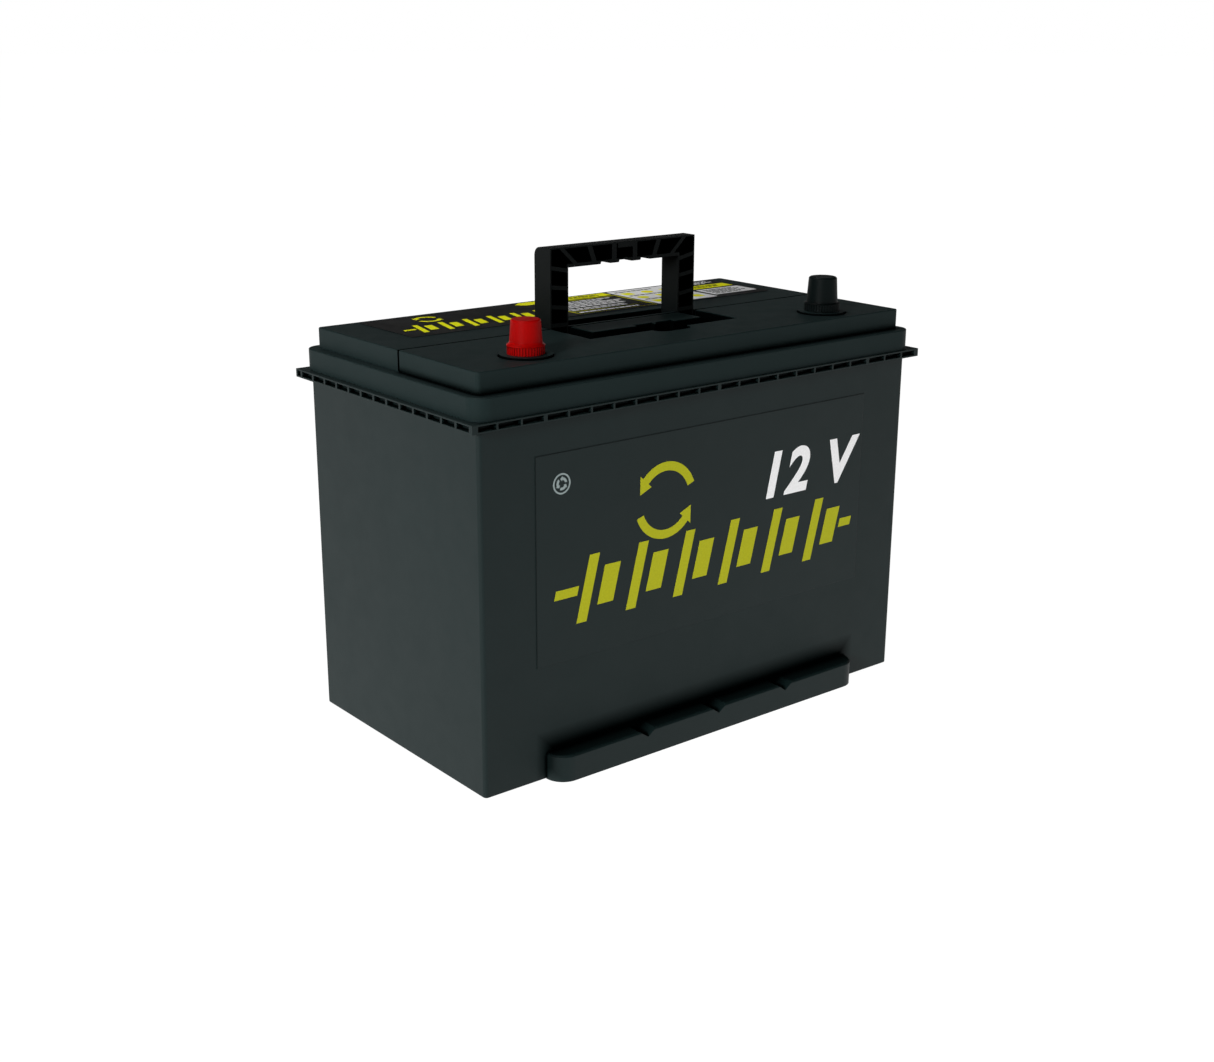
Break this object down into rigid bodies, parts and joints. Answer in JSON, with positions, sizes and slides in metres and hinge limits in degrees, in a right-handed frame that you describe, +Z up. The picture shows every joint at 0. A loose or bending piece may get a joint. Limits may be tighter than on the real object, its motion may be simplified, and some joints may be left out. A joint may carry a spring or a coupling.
{
  "type": "deep cycle battery",
  "caption": "Flooded deep cycle battery: ribbed-rim case, stepped lid, fold-down carrying handle, lift-off vent cover and capped stud terminals, with plates and straps inside.",
  "frame": {"origin": "middle of the underside", "axes": "+X along the long side towards the negative terminal, -Y towards the front with the large label, +Z up"},
  "size_m": [0.3, 0.174, 0.2505],
  "materials": {
    "case_plastic": "satin",
    "lid_plastic": "satin",
    "cover_plastic": "satin",
    "handle_plastic": "satin",
    "red_cap": "satin",
    "black_cap": "satin",
    "lead": "matte",
    "steel": "satin",
    "seal_rubber": "matte",
    "arrestor_frit": "matte",
    "positive_plate": "matte",
    "negative_plate": "matte",
    "separator_sheet": "matte",
    "front_print": "satin",
    "top_print": "satin"
  },
  "bodies": {
    "case": {"container": "case_plastic", "lid": "lid_plastic", "positive_bushing": "lead", "negative_bushing": "lead", "positive_stud": "steel", "negative_stud": "steel", "positive_riser": "lead", "negative_riser": "lead", "intercell_connectors": "lead", "front_label": "front_print", "cell_1_positive_plates": "positive_plate", "cell_1_negative_plates": "negative_plate", "cell_1_separators": "separator_sheet", "cell_1_positive_strap": "lead", "cell_1_negative_strap": "lead", "cell_2_positive_plates": "positive_plate", "cell_2_negative_plates": "negative_plate", "cell_2_separators": "separator_sheet", "cell_2_positive_strap": "lead", "cell_2_negative_strap": "lead", "cell_3_positive_plates": "positive_plate", "cell_3_negative_plates": "negative_plate", "cell_3_separators": "separator_sheet", "cell_3_positive_strap": "lead", "cell_3_negative_strap": "lead", "cell_4_positive_plates": "positive_plate", "cell_4_negative_plates": "negative_plate", "cell_4_separators": "separator_sheet", "cell_4_positive_strap": "lead", "cell_4_negative_strap": "lead", "cell_5_positive_plates": "positive_plate", "cell_5_negative_plates": "negative_plate", "cell_5_separators": "separator_sheet", "cell_5_positive_strap": "lead", "cell_5_negative_strap": "lead", "cell_6_positive_plates": "positive_plate", "cell_6_negative_plates": "negative_plate", "cell_6_separators": "separator_sheet", "cell_6_positive_strap": "lead", "cell_6_negative_strap": "lead"},
    "handle": {"handle": "handle_plastic"},
    "vent_cover": {"vent_cover": "cover_plastic", "vent_baffle": "cover_plastic", "vent_seals": "seal_rubber", "flame_arrestors": "arrestor_frit", "top_label": "top_print"},
    "positive_cap": {"positive_cap": "red_cap"},
    "negative_cap": {"negative_cap": "black_cap"}
  },
  "joints": [
    {"name": "handle_fold", "type": "hinge", "parent": "case", "child": "handle", "pos_m": [0, 0.0062, 0.2065], "axis": [1, 0, 0], "range_deg": [0, 90]},
    {"name": "vent_cover_lift", "type": "slide", "parent": "case", "child": "vent_cover", "axis": [0, 0, 1], "range_m": [0, 0.03]},
    {"name": "positive_cap_lift", "type": "slide", "parent": "case", "child": "positive_cap", "axis": [0, 0, 1], "range_m": [0, 0.025]},
    {"name": "negative_cap_lift", "type": "slide", "parent": "case", "child": "negative_cap", "axis": [0, 0, 1], "range_m": [0, 0.025]}
  ]
}
